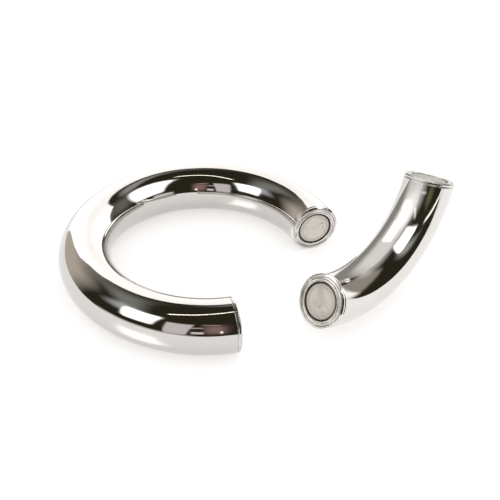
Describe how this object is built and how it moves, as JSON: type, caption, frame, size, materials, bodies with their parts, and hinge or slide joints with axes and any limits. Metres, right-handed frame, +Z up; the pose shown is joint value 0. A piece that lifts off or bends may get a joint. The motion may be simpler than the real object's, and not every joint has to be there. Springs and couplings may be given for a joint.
{
  "type": "magnetic split ring puzzle",
  "caption": "Polished steel tube ring, split into an open ring and a loose closing segment, with disc magnets in the end faces that hold the ring shut.",
  "frame": {"origin": "bottom centre of the whole object's box, on the surface that both pieces stand on", "axes": "+Z up along the lying ring's axis; +X from the ring towards the loose closing segment; +Y towards the back of the ring"},
  "size_m": [0.1138, 0.085, 0.0322],
  "materials": {
    "polished_steel": "mirror polished",
    "turned_steel": "fine turned, satin",
    "magnet_face": "matt plated, lightly scratched",
    "set_glue": "dark set adhesive"
  },
  "bodies": {
    "ring": {"ring_tube": "polished_steel", "ring_front_cap": "turned_steel", "ring_front_magnet": "magnet_face", "ring_front_glue": "set_glue", "ring_back_cap": "turned_steel", "ring_back_magnet": "magnet_face", "ring_back_glue": "set_glue"},
    "closer_pivot": {"closer_near_magnet": "magnet_face"},
    "closer": {"closer_tube": "polished_steel", "closer_near_cap": "turned_steel", "closer_near_glue": "set_glue", "closer_far_cap": "turned_steel", "closer_far_magnet": "magnet_face", "closer_far_glue": "set_glue"}
  },
  "joints": [
    {"name": "closer_swing", "type": "hinge", "parent": "ring", "child": "closer_pivot", "pos_m": [0.02757, -0.00806, 0.00008], "axis": [-0.695, -0.0536, -0.717], "range_deg": [0, 112.6]},
    {"name": "closer_turn", "type": "hinge", "parent": "closer_pivot", "child": "closer", "pos_m": [0.01795, -0.02679, 0.01081], "axis": [0.6716, 0.6082, -0.4231], "range_deg": [0, 166.66]}
  ],
  "couplings": [
    {"joint": "closer_turn", "follows": "closer_swing", "ratio": 1.4802}
  ]
}
